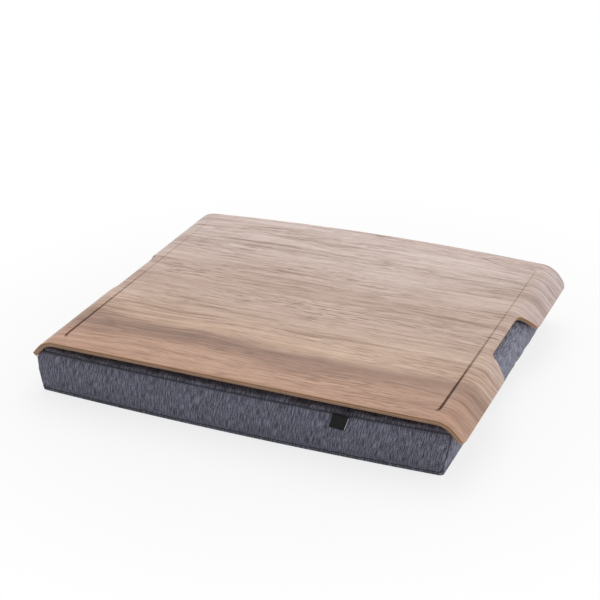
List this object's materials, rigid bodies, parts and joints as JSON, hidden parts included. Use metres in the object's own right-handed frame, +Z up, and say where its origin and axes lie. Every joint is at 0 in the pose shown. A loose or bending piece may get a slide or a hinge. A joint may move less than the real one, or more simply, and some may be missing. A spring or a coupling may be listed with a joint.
{
  "type": "cushioned lap tray",
  "caption": "Lap tray of bent walnut plywood with a hand notch in each lip, held by hook-and-loop on a bead-filled fabric box cushion with a zip.",
  "frame": {"origin": "on the surface that the cushion rests on, under the middle of the tray", "axes": "+X to the user's right along the tray's long side, +Y away from the user, +Z up"},
  "size_m": [0.4582, 0.3659, 0.06],
  "materials": {
    "walnut_veneer": "matte",
    "cross_ply": "matte",
    "core_wood": "matte",
    "cover_fabric": "matte",
    "seam_thread": "matte",
    "bag_cloth": "matte",
    "beads": "matte",
    "fastener_tape": "matte",
    "tag_ribbon": "satin",
    "zip_tape": "matte",
    "zip_teeth": "satin",
    "zip_metal": "satin"
  },
  "bodies": {
    "cushion": {"cover_top_panel": "cover_fabric", "cover_bottom_panel": "cover_fabric", "cover_front_panel": "cover_fabric", "cover_left_panel": "cover_fabric", "cover_right_panel": "cover_fabric", "cover_rear_panel_upper": "cover_fabric", "cover_rear_panel_lower": "cover_fabric", "upper_seam": "seam_thread", "lower_seam": "seam_thread", "corner_seams": "seam_thread", "inner_bag": "bag_cloth", "bead_filling": "beads", "loop_strips": "fastener_tape", "woven_tag": "tag_ribbon", "zip_tape_upper": "zip_tape", "zip_tape_lower": "zip_tape", "zip_chain_upper": "zip_teeth", "zip_chain_lower": "zip_teeth", "zip_top_stops": "zip_metal", "zip_bottom_stop": "zip_metal"},
    "tray": {"face_veneer": "walnut_veneer", "upper_cross_ply": "cross_ply", "core_ply": "core_wood", "lower_cross_ply": "cross_ply", "backing_veneer": "walnut_veneer", "hook_strips": "fastener_tape"},
    "slider": {"zip_slider": "zip_metal"},
    "puller": {"zip_puller": "zip_metal"}
  },
  "joints": [
    {"name": "tray_lift", "type": "slide", "parent": "cushion", "child": "tray", "axis": [0, 0, 1], "range_m": [0, 0.12]},
    {"name": "zip_slide", "type": "slide", "parent": "cushion", "child": "slider", "axis": [-1, 0, 0], "range_m": [0, 0.27]},
    {"name": "puller_swing", "type": "hinge", "parent": "slider", "child": "puller", "pos_m": [0.135, 0.16432, 0.0239], "axis": [0, 0, -1], "range_deg": [0, 170]}
  ]
}
